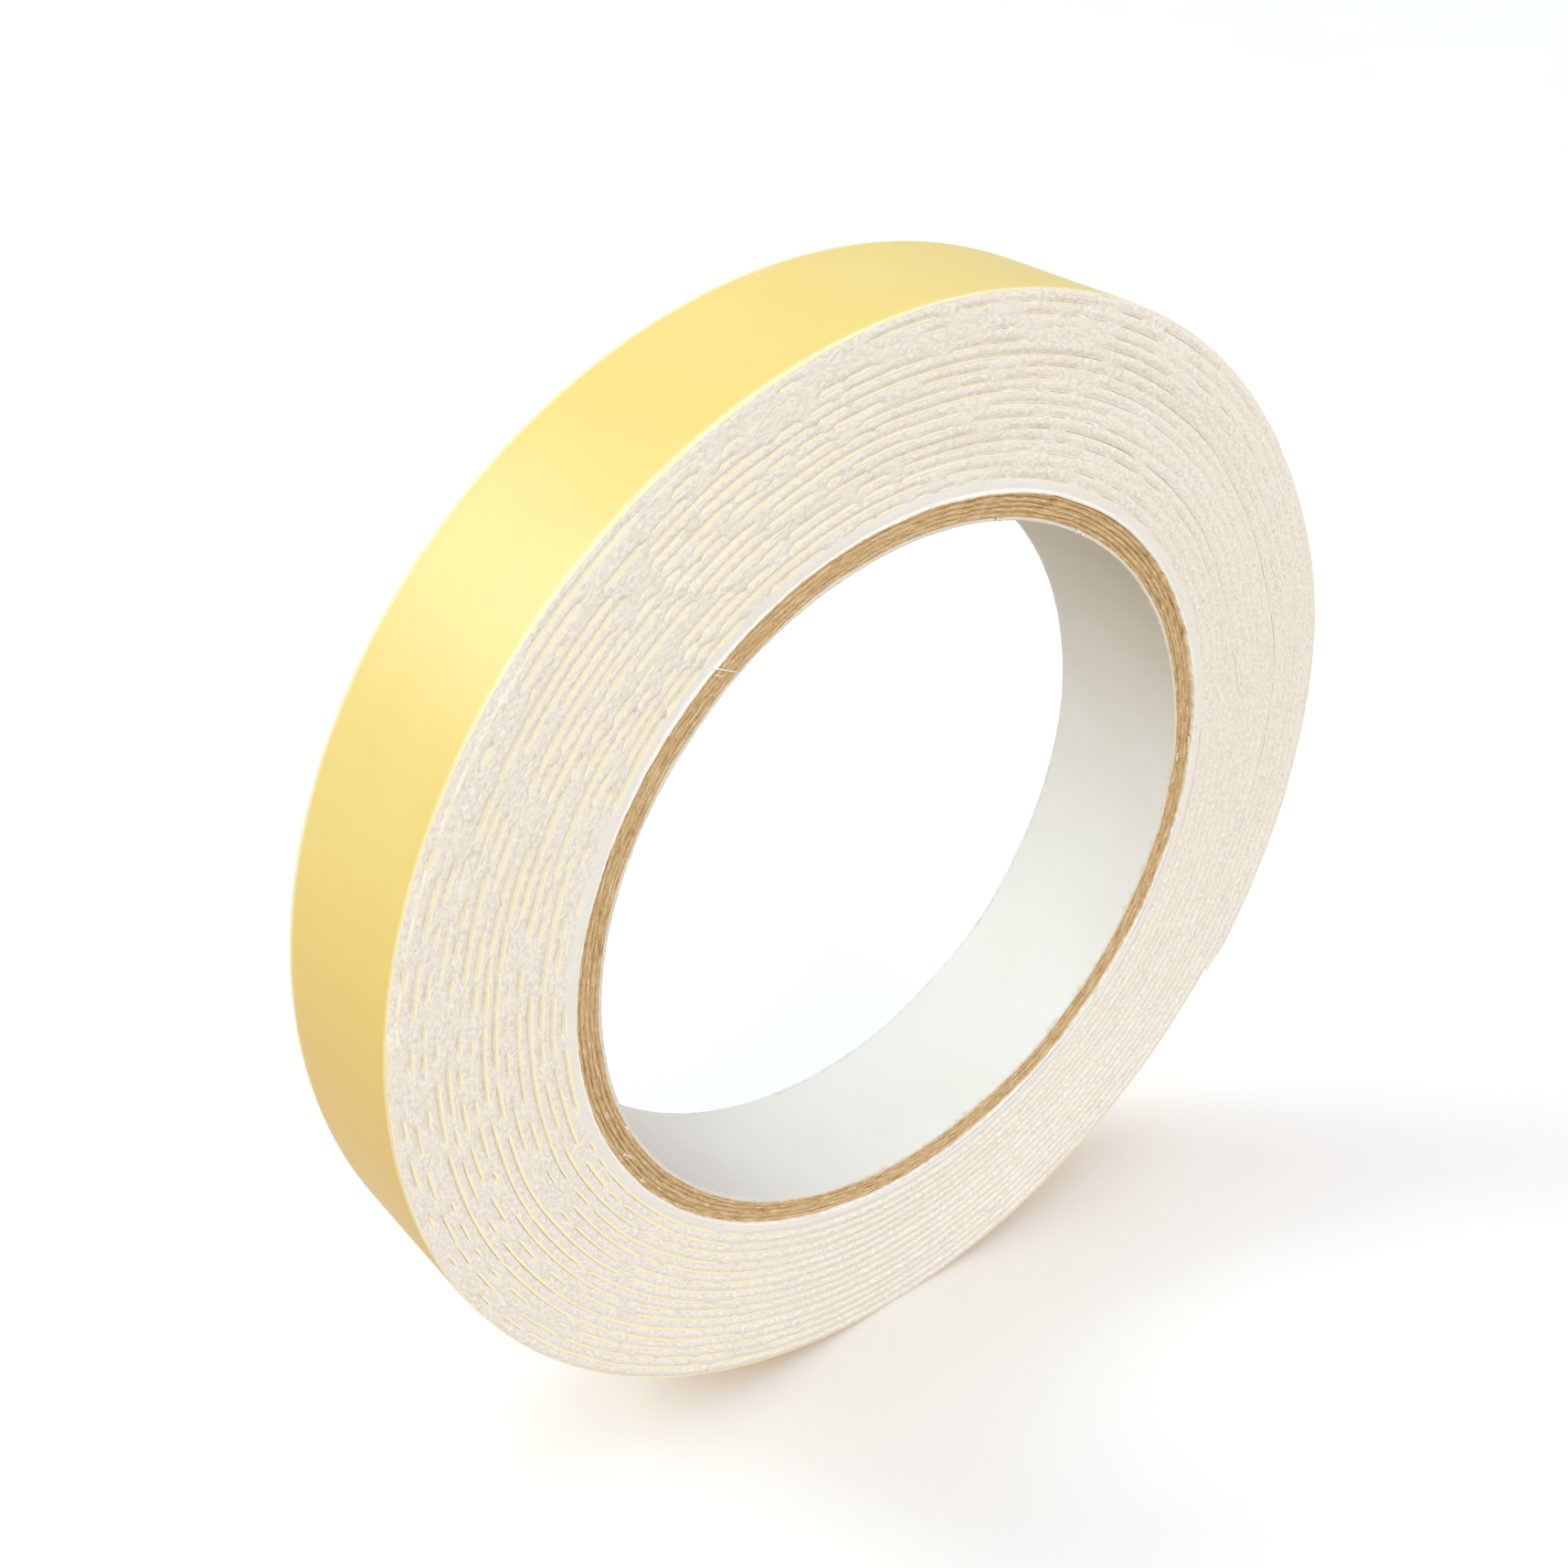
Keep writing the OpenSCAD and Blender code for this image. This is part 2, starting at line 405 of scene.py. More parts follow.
def strip(name, points, along, material, rows, closed=False, flat_sides=()):
    """A solid strip through sections of points, an array (sections, points, 3) in millimetres.

    along is each section's arc length, and flat_sides are the sides of the profile that meet the others at
    sharp edges. rows lays the strip out for baking, as in bake_layout. The faces get that map, and one in
    millimetres along and round the strip, for its material."""
    sections, count = points.shape[:2]
    steps = sections if closed else sections - 1
    faces = strip_faces(sections, count, closed).tolist()
    bake_uv = bake_layout(steps, count, rows)
    along_uv = along_layout(points[0], along, steps)
    if not closed:
        last = (sections - 1) * count
        faces += [list(range(count)), list(range(last + count - 1, last - 1, -1))]
        for k, section in enumerate((points[0], points[-1][::-1])):
            radius = np.hypot(section[:, 0], section[:, 2])
            bake_uv = np.concatenate([bake_uv, cap_layout(section, k)])
            along_uv = np.concatenate([along_uv, np.stack([section[:, 1], radius], axis=1)])

    mesh = bpy.data.meshes.new(name)
    mesh.from_pydata((points.reshape(-1, 3) * MM).tolist(), [], faces)
    flat = np.ones(len(faces), bool)
    flat[:steps * count] = np.tile(np.isin(np.arange(count), flat_sides), steps)
    mark_flat(mesh, flat)
    for map_name, coordinates in (("Along", along_uv), ("OFBake", bake_uv)):
        layer = mesh.uv_layers.new(name=map_name)
        layer.data.foreach_set("uv", coordinates.astype(np.float32).ravel())
    mesh.materials.append(material)
    obj = bpy.data.objects.new(name, mesh)
    bpy.context.scene.collection.objects.link(obj)
    return obj


def even_lengths(start, stop, step):
    """Arc lengths from start to stop, about a step apart."""
    return np.linspace(start, stop, max(2, int(round((stop - start) / step)) + 1))


# Length of a step along each kind of strip
FOAM_STEP, LINER_STEP, FILM_STEP = 0.74, 0.8, 0.74
# Shares of the baked picture for a side of the foam's cut edge and for its broad faces
FACE_SHARE, BROAD_SHARE = 8.0, 1.5
# Length of tape in one row of the baked picture: of foam, of adhesive film, and of hidden and shown liner
FOAM_ROW_L, FILM_ROW_L, HIDDEN_ROW_L, SHOWN_ROW_L = 110, 200, 200, 100


def foam_piece(name, start, stop, material):
    """Foam between two arc lengths, with its cut edges in front and behind."""
    s = even_lengths(start, stop, FOAM_STEP)
    front_depth, front_y = foam_edge(s, -1)
    back_depth, back_y = foam_edge(s, 1)
    depth = np.concatenate([front_depth, back_depth[:, ::-1]], axis=1)
    y = np.concatenate([front_y, back_y[:, ::-1]], axis=1)
    shares = np.array([FACE_SHARE] * 6 + [BROAD_SHARE] + [FACE_SHARE] * 6 + [BROAD_SHARE])
    per_row = round(FOAM_ROW_L / FOAM_STEP)
    rows = [(per_row, 1.0, shares)] * math.ceil((len(s) - 1) / per_row)
    points = place(s, depth, y)
    return strip(name, points, s, material, rows, flat_sides=(0, 5, 6, 7, 12, 13))


# Distances from the edge of the liner at which its outer face has a row of points, and which of them its
# inner face has too
LINER_ROWS = np.array([0.0, 0.12, 0.35, 0.8, 3.0])
EDGE_ROW, INNER_ROW = 0, 3
# How far the liner's bare edge droops at the upper left, and over what width
DROOP, DROOP_W = 0.10, 0.8
# How much thicker the liner's frayed edge is at the lower left, how far it stands out, and at what angle
FRAY, FRAY_OUT, FRAY_AT = 0.17, 0.05, 235
# How far the liner's edge wanders in and out, and over what length
EDGE_WANDER, EDGE_WANDER_L = 0.03, 1.7
# How wavy the liner's outer face is, and over what length
LINER_WAVE, LINER_WAVE_L = 0.03, 9
# Shares of the baked picture for the sides of the liner's profile, where its edges show and on the rim
HIDDEN_SHARES = np.array([3, 2, 2, 1, .2, .2, 1, 2, 2, 3, 4, .5, .5, .5, 4])
SHOWN_SHARES = np.array([.3, .4, .6, 3, 7, 7, 3, .6, .4, .3, .3, .1, .1, .1, .3])
# Length of liner that shows on the rim, and the share of the picture that it gets
SHOWN_L, SHOWN_PART = 400, 0.6


def liner_edge(s, side):
    """Rows of points near one edge of the liner: their places across the width, how far they droop towards
    the roll's axis, and how much thicker the edge itself is. The edge is bare where the groove outside it
    is open, and frays only where another turn covers it."""
    angle, bare = shape_at(s)[0], 1 - grooves_beside(s, side)[1][0]
    covered = angle - START < ANGLES[-1] - 2 * np.pi
    drooping = (bare * looseness(angle, LOOSE_IN_AT))[:, None]
    frayed = (bare * covered * looseness(angle, FRAY_AT) ** 2)[:, None]
    drooped = DROOP * drooping * np.clip(1 - LINER_ROWS / DROOP_W, 0, 1) ** 2
    wander = EDGE_WANDER * gape[side](s / EDGE_WANDER_L)[:, None]
    edge = edge_y(s, side, PITCH) + side * (wander + FRAY_OUT * frayed)
    return edge - side * LINER_ROWS[None, :], drooped, FRAY * frayed[:, 0]


def liner_bake_rows(steps):
    """Rows of the liner's baked picture: the hidden turns at the bottom, and above them what shows."""
    shown = min(steps, round(SHOWN_L / LINER_STEP))
    shown_rows = math.ceil(shown / round(SHOWN_ROW_L / LINER_STEP))
    rows = [(math.ceil(shown / shown_rows), SHOWN_PART / shown_rows, SHOWN_SHARES)] * shown_rows
    if steps == shown:
        return rows
    per_row = round(HIDDEN_ROW_L / LINER_STEP)
    full_rows = math.ceil((steps - shown) / per_row) - 1
    counts = [per_row] * full_rows + [steps - shown - per_row * full_rows]
    return [(count, (1 - SHOWN_PART) / len(counts), HIDDEN_SHARES) for count in counts] + rows


def liner_piece(name, start, stop, material, wave_fields):
    """The release liner: a thin strip whose bare edges droop a little, fray, and wander in and out."""
    s = even_lengths(start, stop, LINER_STEP)
    front_y, front_droop, front_fray = liner_edge(s, -1)
    back_y, back_droop, back_fray = liner_edge(s, 1)
    middle = np.zeros((len(s), 1))
    y_out = np.concatenate([front_y, middle, back_y[:, ::-1]], axis=1)
    depth_out = PITCH - np.concatenate([front_droop, middle, back_droop[:, ::-1]], axis=1)
    waves = [LINER_WAVE * wave_fields(s / LINER_WAVE_L, float(k)) for k in range(3)]
    depth_out[:, 4:7] += np.stack(waves, axis=1)
    y_in = [back_y[:, EDGE_ROW], back_y[:, INNER_ROW], front_y[:, INNER_ROW], front_y[:, EDGE_ROW]]
    depth_in = ADHESIVE_2_TOP - np.stack([
        back_droop[:, EDGE_ROW] + back_fray,
        back_droop[:, INNER_ROW],
        front_droop[:, INNER_ROW],
        front_droop[:, EDGE_ROW] + front_fray,
    ], axis=1)
    y = np.concatenate([y_out, np.stack(y_in, axis=1)], axis=1)
    depth = np.concatenate([depth_out, depth_in], axis=1)
    points, rows = place(s, depth, y), liner_bake_rows(len(s) - 1)
    return strip(name, points, s, material, rows, flat_sides=(10, 14))


def film_piece(name, start, stop, low, high, material):
    """One adhesive film, a thin strip that ends just behind the foam's lips on both cut edges."""
    s = even_lengths(start, stop, FILM_STEP)
    lip = 0 if low == 0 else 1
    front, back = (edge_y(s, side, high)[:, 0] - side * (foam_lips(s, side)[lip] + CORNER_DEPTH)
                   for side in (-1, 1))
    y = np.stack([front, front, back, back], axis=1)
    depth = np.outer(np.ones(len(s)), [low, high, high, low])
    shares = np.array([1.0, 8.0, 1.0, 8.0])
    per_row = round(FILM_ROW_L / FILM_STEP)
    rows = [(per_row, 1.0, shares)] * math.ceil((len(s) - 1) / per_row)
    return strip(name, place(s, depth, y), s, material, rows)


# ---------------------------------------------------------------- the core

RING_SECTIONS = 1080
# How far the faces between plies wander, how far whole ends and their fibres stand in or out, and how far
# the ends of brown and of white plies are rounded
PLY_WANDER, PLY_OUT, PLY_FUZZ, PLY_ROUNDING, WHITE_ROUNDING = 0.07, 0.20, 0.06, 0.22, 0.06
# Cells round the core of the fields for the plies' faces, and for their ends' slow and fast changes
WANDER_CELLS, SLOW_CELLS, FAST_CELLS = 64, 24, 720
# How much further out than the other plies the wrap's ends stand
WRAP_OUT = 0.30
# Shares of a ply's thickness at which its end has a row of points
PLY_SHARES = np.array([0, 0.08, 0.3, 0.7, 0.92, 1])


def ring_angles():
    """Angles of the sections of a ply."""
    return np.linspace(0, 2 * np.pi, RING_SECTIONS, endpoint=False)


def interface_r(index, radius):
    """Radius all round of a face between two plies, which wanders a little. The innermost and the
    outermost face of the core are true circles."""
    if index in (0, len(KRAFT) + 2):
        return np.full(RING_SECTIONS, radius)
    wander = noise_field(40 + index, WANDER_CELLS)(ring_angles() / (2 * np.pi) * WANDER_CELLS)
    return radius + PLY_WANDER * wander


def ply_end(seed, side, out, rounding):
    """Places across the width of a ply's end, row by row: fibres, and the whole end in or out a little."""
    angle = ring_angles()[:, None]
    rows = np.arange(len(PLY_SHARES))[None, :]
    slow = noise_field(seed, SLOW_CELLS)(angle / (2 * np.pi) * SLOW_CELLS)
    fast = noise_field(seed + 1, FAST_CELLS, 6)(angle / (2 * np.pi) * FAST_CELLS, rows * 1.0)
    rounded = rounding * (np.abs(2 * PLY_SHARES - 1) ** 5)[None, :]
    return side * (CORE_HALF_W + out + 0.5 * PLY_OUT * slow + PLY_FUZZ * fast - rounded)


def ply_piece(name, index, radii, material, out=0.0, rounding=WHITE_ROUNDING, wall_rows=1,
              wall_shape=None):
    """One ply of the core, between two faces that it shares with its neighbours.

    Its ends stand that far out, and are rounded that much. Its inner wall has that many rows of points,
    which wall_shape moves outwards."""
    inner_r, outer_r = (interface_r(index + k, radii[k])[:, None] for k in (0, 1))
    front, back = ply_end(60 + 4 * index, -1, out, rounding), ply_end(62 + 4 * index, 1, out, rounding)
    end_r = inner_r + (outer_r - inner_r) * PLY_SHARES[None, :]
    inside = np.linspace(1, 0, wall_rows + 2)[1:-1][None, :]
    wall_y = front[:, :1] * (1 - inside) + back[:, :1] * inside
    wall_r = np.repeat(inner_r, wall_rows, axis=1)
    r = np.concatenate([end_r, end_r[:, ::-1], wall_r], axis=1)
    y = np.concatenate([front, back[:, ::-1], wall_y], axis=1)
    if wall_shape:
        first = 2 * len(PLY_SHARES)
        r[:, first:] += wall_shape(ring_angles()[:, None], y[:, first:])
    angle = ring_angles()[:, None]
    points = np.stack([r * np.sin(angle), y, r * np.cos(angle)], axis=-1)
    shares = np.array([2.0] * 5 + [1.0] + [2.0] * 5 + [18.0 / (wall_rows + 1)] * (wall_rows + 1))
    rows = [(RING_SECTIONS // 3, 1.0, shares)] * 3
    return strip(name, points, ring_angles() * radii[0], material, rows, closed=True)


# The bore's lining is wound on a slant, and its edges meet in faint seams: their distance, where they are,
# how high they are, and over what length they settle
SEAM_LEAD, SEAM_AT, SEAM_STEP, SEAM_SETTLES = 96.0, 0.37, 0.06, 2.5


def lining_seam(angle, y):
    """How far the lining lies outside the bore: it steps out at a seam, and settles from there on."""
    turn = (angle * BORE_R / SEAM_LEAD + y / SEAM_LEAD + SEAM_AT) % 1.0
    return SEAM_STEP * np.exp(-turn * SEAM_LEAD / SEAM_SETTLES)


# ---------------------------------------------------------------- torn paper

def fibre(path, width):
    """Vertices and faces of a thin, flattish, closed fibre along a path, in millimetres."""
    path = np.array(path, float)
    sides, rings = 5, len(path)
    ways = np.gradient(path, axis=0)
    ways /= np.linalg.norm(ways, axis=1)[:, None]
    beside = np.cross(ways, (0.31, 0.87, 0.38))
    beside /= np.linalg.norm(beside, axis=1)[:, None]
    above = np.cross(ways, beside)
    taper = np.interp(np.linspace(0, 1, rings), [0, 0.3, 0.8, 1], [0.8, 1, 0.7, 0.15])
    vertices = []
    for k in range(sides):
        turn = 2 * np.pi * k / sides
        across = np.cos(turn) * beside * width + np.sin(turn) * above * width * 0.35
        vertices.append(path + across * taper[:, None])
    vertices = np.stack(vertices, axis=1).reshape(-1, 3)
    faces = []
    for i in range(rings - 1):
        for j in range(sides):
            low, beside_low = i * sides + j, i * sides + (j + 1) % sides
            faces.append([low, beside_low, beside_low + sides, low + sides])
    faces += [list(range(sides - 1, -1, -1)), [(rings - 1) * sides + j for j in range(sides)]]
    return vertices, faces


def on_roll(degrees, r, y):
    """A point at an angle clockwise from the top, at a radius, and at y across the width."""
    angle = math.radians(degrees)
    return np.array([r * math.sin(angle), y, r * math.cos(angle)])


# Tufts of torn paper: clockwise angle, radius, how many fibres, and their length
TUFTS = [
    (13.4, BORE_R + 0.2, 5, 0.9),
    (31.4, BORE_R + 0.2, 4, 0.7),
    (87.5, CORE_R - 0.3, 7, 1.1),
    (90.6, BORE_R + 1.0, 5, 0.9),
    (249.4, BORE_R + 0.3, 7, 0.55),
    (245.0, CORE_R - 1.2, 7, 0.55),
    (238.5, CORE_R - 0.8, 7, 0.5),
]


def torn_fibres(material):
    """Fuzz that stands up from the paper's cut edges, and one long strand across the brown plies."""
    random = np.random.default_rng(77)
    vertices, faces = [], []

    def add(path, width):
        offset = sum(len(v) for v in vertices)
        new_vertices, new_faces = fibre(path, width)
        vertices.append(new_vertices)
        faces.extend([[offset + i for i in face] for face in new_faces])

    for degrees, r, count, length in TUFTS:
        for _ in range(count):
            base_degrees = degrees + random.uniform(-0.7, 0.7)
            base_r = r + random.uniform(-0.15, 0.3)
            lean, rise = random.uniform(-1.2, 1.2), random.uniform(0.15, 0.45)
            outward = random.uniform(-0.6, 0.3)
            path = []
            for t in np.linspace(0, 1, 6):
                y = -CORE_HALF_W + 0.1 - rise * length * math.sin(2.2 * t)
                path.append(on_roll(base_degrees + lean * t * length, base_r + outward * t * length, y))
            add(path, random.uniform(0.07, 0.18))
    strand = []
    for t in np.linspace(0, 1, 14):
        r = CORE_R + 0.5 - 2.9 * t + 0.35 * math.sin(5 * t)
        strand.append(on_roll(322.0 + 3.2 * t, r, -CORE_HALF_W - 0.12 - 0.25 * math.sin(3.1 * t)))
    add(strand, 0.13)
    branch = []
    for t in np.linspace(0, 1, 8):
        y = -CORE_HALF_W - 0.2 * math.sin(3.1 * t) - 0.1
        branch.append(on_roll(322.4 + 1.2 * t, CORE_R - 0.6 - 1.2 * t, y))
    add(branch, 0.08)

    mesh = bpy.data.meshes.new("torn_fibres")
    mesh.from_pydata((np.concatenate(vertices) * MM).tolist(), [], faces)
    mesh.shade_smooth()
    mesh.materials.append(material)
    obj = bpy.data.objects.new("torn_fibres", mesh)
    bpy.context.scene.collection.objects.link(obj)
    return obj


# ---------------------------------------------------------------- materials

def linear(colour):
    """Linear colour of an sRGB colour written as #RRGGBB."""
    parts = [int(colour[i:i + 2], 16) / 255 for i in (1, 3, 5)]
    return [c / 12.92 if c <= 0.04045 else ((c + 0.055) / 1.055) ** 2.4 for c in parts] + [1.0]


class Material:
    """A procedural material around one Principled shader. Its sockets can get uniform values by name."""

    def __init__(self, name, roughness, **uniform):
        self.material = bpy.data.materials.new(name)
        self.material.use_nodes = True
        self.tree = self.material.node_tree
        self.tree.nodes.clear()
        self.shader = self.tree.nodes.new("ShaderNodeBsdfPrincipled")
        output = self.tree.nodes.new("ShaderNodeOutputMaterial")
        self.tree.links.new(self.shader.outputs["BSDF"], output.inputs["Surface"])
        self.shader.inputs["Roughness"].default_value = roughness
        for socket, value in uniform.items():
            self.shader.inputs[socket.replace("_", " ")].default_value = value

    def node(self, kind, settings=None, **inputs):
        """A node with settings, and with inputs by name, or by number as i0 and so on, that are values or
        other nodes' outputs."""
        made = self.tree.nodes.new(kind)
        for key, value in (settings or {}).items():
            setattr(made, key, value)
        for key, value in inputs.items():
            numbered = key[0] == "i" and key[1:].isdigit()
            socket = made.inputs[int(key[1:]) if numbered else key]
            if isinstance(value, bpy.types.NodeSocket):
                self.tree.links.new(value, socket)
            else:
                socket.default_value = value
        return made

    def link(self, output, socket):
        """Leads an output to a socket of the Principled shader."""
        self.tree.links.new(output, self.shader.inputs[socket])

    def place_in_mm(self):
        """The point on the piece, in millimetres in the row frame."""
        point = self.node("ShaderNodeTexCoord").outputs["Object"]
        scaled = self.node("ShaderNodeVectorMath", {"operation": "SCALE"}, i0=point, Scale=1 / MM)
        return scaled.outputs[0]

    def along_in_mm(self, stretch=(1.0, 1.0)):
        """The point on the piece in millimetres along and round its strip, each times its stretch."""
        point = self.node("ShaderNodeUVMap", {"uv_map": "Along"}).outputs[0]
        return self.node("ShaderNodeVectorMath", {"operation": "MULTIPLY"}, i0=point,
                         i1=(*stretch, 1.0)).outputs[0]

    def noise(self, vector, size, detail=2.0, roughness=0.5):
        """Noise whose lumps are about size millimetres across."""
        return self.node("ShaderNodeTexNoise", Vector=vector, Scale=1 / size, Detail=detail,
                         Roughness=roughness).outputs["Fac"]

    def cells(self, vector, size):
        """Soft round cells about size millimetres across."""
        return self.node("ShaderNodeTexVoronoi", {"feature": "SMOOTH_F1"}, Vector=vector,
                         Scale=1 / size, Smoothness=0.6).outputs["Distance"]

    def ramp(self, value, *stops):
        """A smooth ramp of colours, from (place, colour) pairs."""
        made = self.node("ShaderNodeValToRGB", Fac=value)
        made.color_ramp.interpolation = "EASE"
        elements = made.color_ramp.elements
        while len(elements) < len(stops):
            elements.new(0.5)
        for element, (at, colour) in zip(elements, stops):
            element.position = at
            element.color = linear(colour) if isinstance(colour, str) else (colour, colour, colour, 1)
        return made.outputs["Color"]

    def mix(self, share, a, b):
        """Colour a with a share of colour b."""
        made = self.node("ShaderNodeMix", {"data_type": "RGBA"})
        for socket, value in ((0, share), (6, a), (7, b)):
            if isinstance(value, bpy.types.NodeSocket):
                self.tree.links.new(value, made.inputs[socket])
            else:
                made.inputs[socket].default_value = linear(value) if isinstance(value, str) else value
        return made.outputs[2]

    def maths(self, operation, *values):
        inputs = {f"i{k}": value for k, value in enumerate(values)}
        return self.node("ShaderNodeMath", {"operation": operation}, **inputs).outputs[0]

    def bump(self, height, depth, strength, under=None):
        """A bump of that depth in millimetres, on top of another."""
        inputs = {"Height": height, "Strength": strength, "Distance": depth * MM}
        if under is not None:
            inputs["Normal"] = under
        return self.node("ShaderNodeBump", **inputs).outputs["Normal"]

    def radius_in_mm(self, point):
        """Distance of a point in the row frame from the roll's axis."""
        flat = self.node("ShaderNodeVectorMath", {"operation": "MULTIPLY"}, i0=point, i1=(1, 0, 1))
        length = self.node("ShaderNodeVectorMath", {"operation": "LENGTH"}, i0=flat.outputs[0])
        return length.outputs["Value"]

    def across(self):
        """How much a face looks along the roll's axis, from 0 to 1."""
        normal = self.node("ShaderNodeTexCoord").outputs["Normal"]
        return self.maths("ABSOLUTE", self.node("ShaderNodeSeparateXYZ", Vector=normal).outputs["Y"])

    def edge_distance_in_mm(self, point, half_width):
        """How far a point is from the nearer cut edge."""
        y = self.node("ShaderNodeSeparateXYZ", Vector=point).outputs["Y"]
        return self.maths("SUBTRACT", half_width, self.maths("ABSOLUTE", y))


def foam_material():
    """Closed-cell foam: soft white, with torn cells on the cut edge, and cooler next to the core."""
    m = Material("foam", 0.85, Specular_IOR_Level=0.25)
    point = m.place_in_mm()
    blotch = m.noise(point, 2.2, 3.0)
    grain = m.noise(m.along_in_mm((0.5, 1.0)), 0.30, 3.0, 0.65)
    cells = m.cells(point, 0.30)
    colour = m.ramp(grain, (0.34, "#DFDDDB"), (0.66, "#FAF9FA"))
    colour = m.mix(m.ramp(blotch, (0.35, 0.0), (0.7, 0.5)), colour, "#F4F1F0")
    turns_out = m.maths("DIVIDE", m.maths("SUBTRACT", m.radius_in_mm(point), CORE_R), 2 * PITCH)
    first_turn = m.ramp(turns_out, (0.46, 1.0), (0.52, 0.0))
    colour = m.mix(m.maths("MULTIPLY", first_turn, 0.8), colour, "#EEF1F5")
    m.link(colour, "Base Color")
    rough = m.bump(grain, 0.05, 0.6)
    m.link(m.bump(cells, 0.04, 0.5, rough), "Normal")
    return m.material


def liner_material():
    """Yellow glassine paper: faintly cloudy and fibrous, painted deeper yellow as shade where the rim turns
    in under the roll, and with a painted cream highlight along its edges. Its cut edge has painted light
    and shade: yellower at the left than at the right."""
    m = Material("liner_paper", 0.4, Specular_IOR_Level=0.5)
    point = m.place_in_mm()
    cloud = m.noise(point, 7.0, 2.0)
    fibres = m.noise(m.along_in_mm((1.0, 2.2)), 0.5, 4.0, 0.6)
    along = m.node("ShaderNodeSeparateXYZ", Vector=m.along_in_mm()).outputs["X"]
    outer_turn = length_at(END_PAST - 2 * math.pi)
    share = m.node("ShaderNodeMapRange", Value=along, i1=outer_turn, i2=END_S).outputs[0]
    colour = m.ramp(cloud, (0.3, "#EACF72"), (0.7, "#EBD176"))
    # Painted shade: a deeper yellow on the hidden turns, and on the rim from the lower right round the
    # bottom to the left, fading out at the left
    colour = m.mix(m.ramp(share, (0.38, 1.0), (0.48, 0.0)), colour, "#E7BC50")
    colour = m.mix(m.ramp(fibres, (0.35, 0.0), (0.75, 0.2)), colour, "#EFDA88")
    # The cream band along the edge is a painted highlight, on the rim and on the hidden turns' edges in the
    # grooves. It is uneven, and narrower on the rim
    uneven = m.maths("MULTIPLY", m.maths("SUBTRACT", fibres, 0.5), 0.5)
    edge = m.maths("ADD", m.edge_distance_in_mm(point, TAPE_HALF_W), uneven)
    on_rim = m.maths("GREATER_THAN", along, outer_turn)
    edge = m.maths("MULTIPLY_ADD", on_rim, 0.18, edge)
    cream = m.mix(on_rim, "#FFFCEC", "#F5E8B8")
    colour = m.mix(m.ramp(m.maths("DIVIDE", edge, 2.0), (0.24, 1.0), (0.52, 0.0)), colour, cream)
    # Painted light and shade on the liner's cut edge: cream yellow at the left, greyer in the middle, paler
    # at the right
    x = m.node("ShaderNodeSeparateXYZ", Vector=point).outputs["X"]
    to_the_right = m.maths("MULTIPLY_ADD", m.maths("MULTIPLY", x, 1 / LAST_TURN_R), 0.5, 0.5)
    cut_edge_light_and_shade = m.ramp(to_the_right, (0.28, "#FFF8DA"), (0.46, "#E9E3D6"), (0.70, "#F8F3E6"))
    colour = m.mix(m.maths("GREATER_THAN", m.across(), 0.7), colour, cut_edge_light_and_shade)
    m.link(colour, "Base Color")
    m.link(m.ramp(fibres, (0.2, 0.36), (0.8, 0.48)), "Roughness")
    m.link(m.bump(fibres, 0.01, 0.3), "Normal")
    return m.material


def adhesive_material():
    """Clear tacky adhesive: a glossy cream film with a fine orange-peel surface."""
    m = Material("adhesive", 0.16, Coat_Weight=0.6, Coat_Roughness=0.08)
    point = m.place_in_mm()
    streak = m.noise(m.along_in_mm((0.25, 1.0)), 1.2, 2.0)
    colour = m.ramp(streak, (0.3, "#EFE8D3"), (0.7, "#F8F3E4"))
    m.link(colour, "Base Color")
    m.link(m.bump(m.noise(point, 0.7, 2.0), 0.03, 0.5), "Normal")
    return m.material


def kraft_material(seed):
    """Brown core board: fibres that run round the core, with lighter and darker flecks."""
    m = Material(f"kraft_paper_{seed}", 0.9, Specular_IOR_Level=0.2)
    streaks = m.noise(m.along_in_mm((0.16, 1.6)), 0.25 + 0.02 * seed, 4.0, 0.7)
    flecks = m.noise(m.place_in_mm(), 0.30, 3.0, 0.7)
    slow = m.noise(m.place_in_mm(), 6.0 + seed, 2.0)
    colour = m.ramp(streaks, (0.33, "#8E7048"), (0.48, "#CFB287"), (0.66, "#EEE0C6"))
    colour = m.mix(m.ramp(flecks, (0.50, 0.0), (0.75, 0.55)), colour, "#7F5A30")
    colour = m.mix(m.ramp(slow, (0.3, 0.0), (0.75, 0.35)), colour, "#DDC49B")
    m.link(colour, "Base Color")
    m.link(m.bump(streaks, 0.06, 0.7, m.bump(flecks, 0.04, 0.5)), "Normal")
    return m.material


def white_paper_material(name, tint):
    """Smooth white paper with a faint formation and fibres."""
    m = Material(name, 0.55, Specular_IOR_Level=0.35)
    cloud = m.noise(m.place_in_mm(), 9.0, 2.0)
    fibres = m.noise(m.along_in_mm((1.0, 3.0)), 0.5, 4.0, 0.6)
    colour = m.mix(m.ramp(cloud, (0.3, 0.0), (0.7, 0.25)), tint, "#EAE9E5")
    colour = m.mix(m.ramp(fibres, (0.4, 0.0), (0.8, 0.2)), colour, "#D7D4CC")
    m.link(colour, "Base Color")
    m.link(m.ramp(fibres, (0.2, 0.5), (0.8, 0.65)), "Roughness")
    m.link(m.bump(fibres, 0.006, 0.3), "Normal")
    return m.material


def floor_material():
    """Pale, very faintly uneven studio floor."""
    m = Material("floor", 0.7)
    shade = m.noise(m.place_in_mm(), 60.0, 2.0)
    m.link(m.ramp(shade, (0.3, "#FCFBF8"), (0.7, "#FFFEFB")), "Base Color")
    return m.material


# ---------------------------------------------------------------- the pieces

foam, liner, adhesive = foam_material(), liner_material(), adhesive_material()
lining = white_paper_material("white_lining", "#E2DED6")
wrap = white_paper_material("white_wrap", "#FFFFFF")


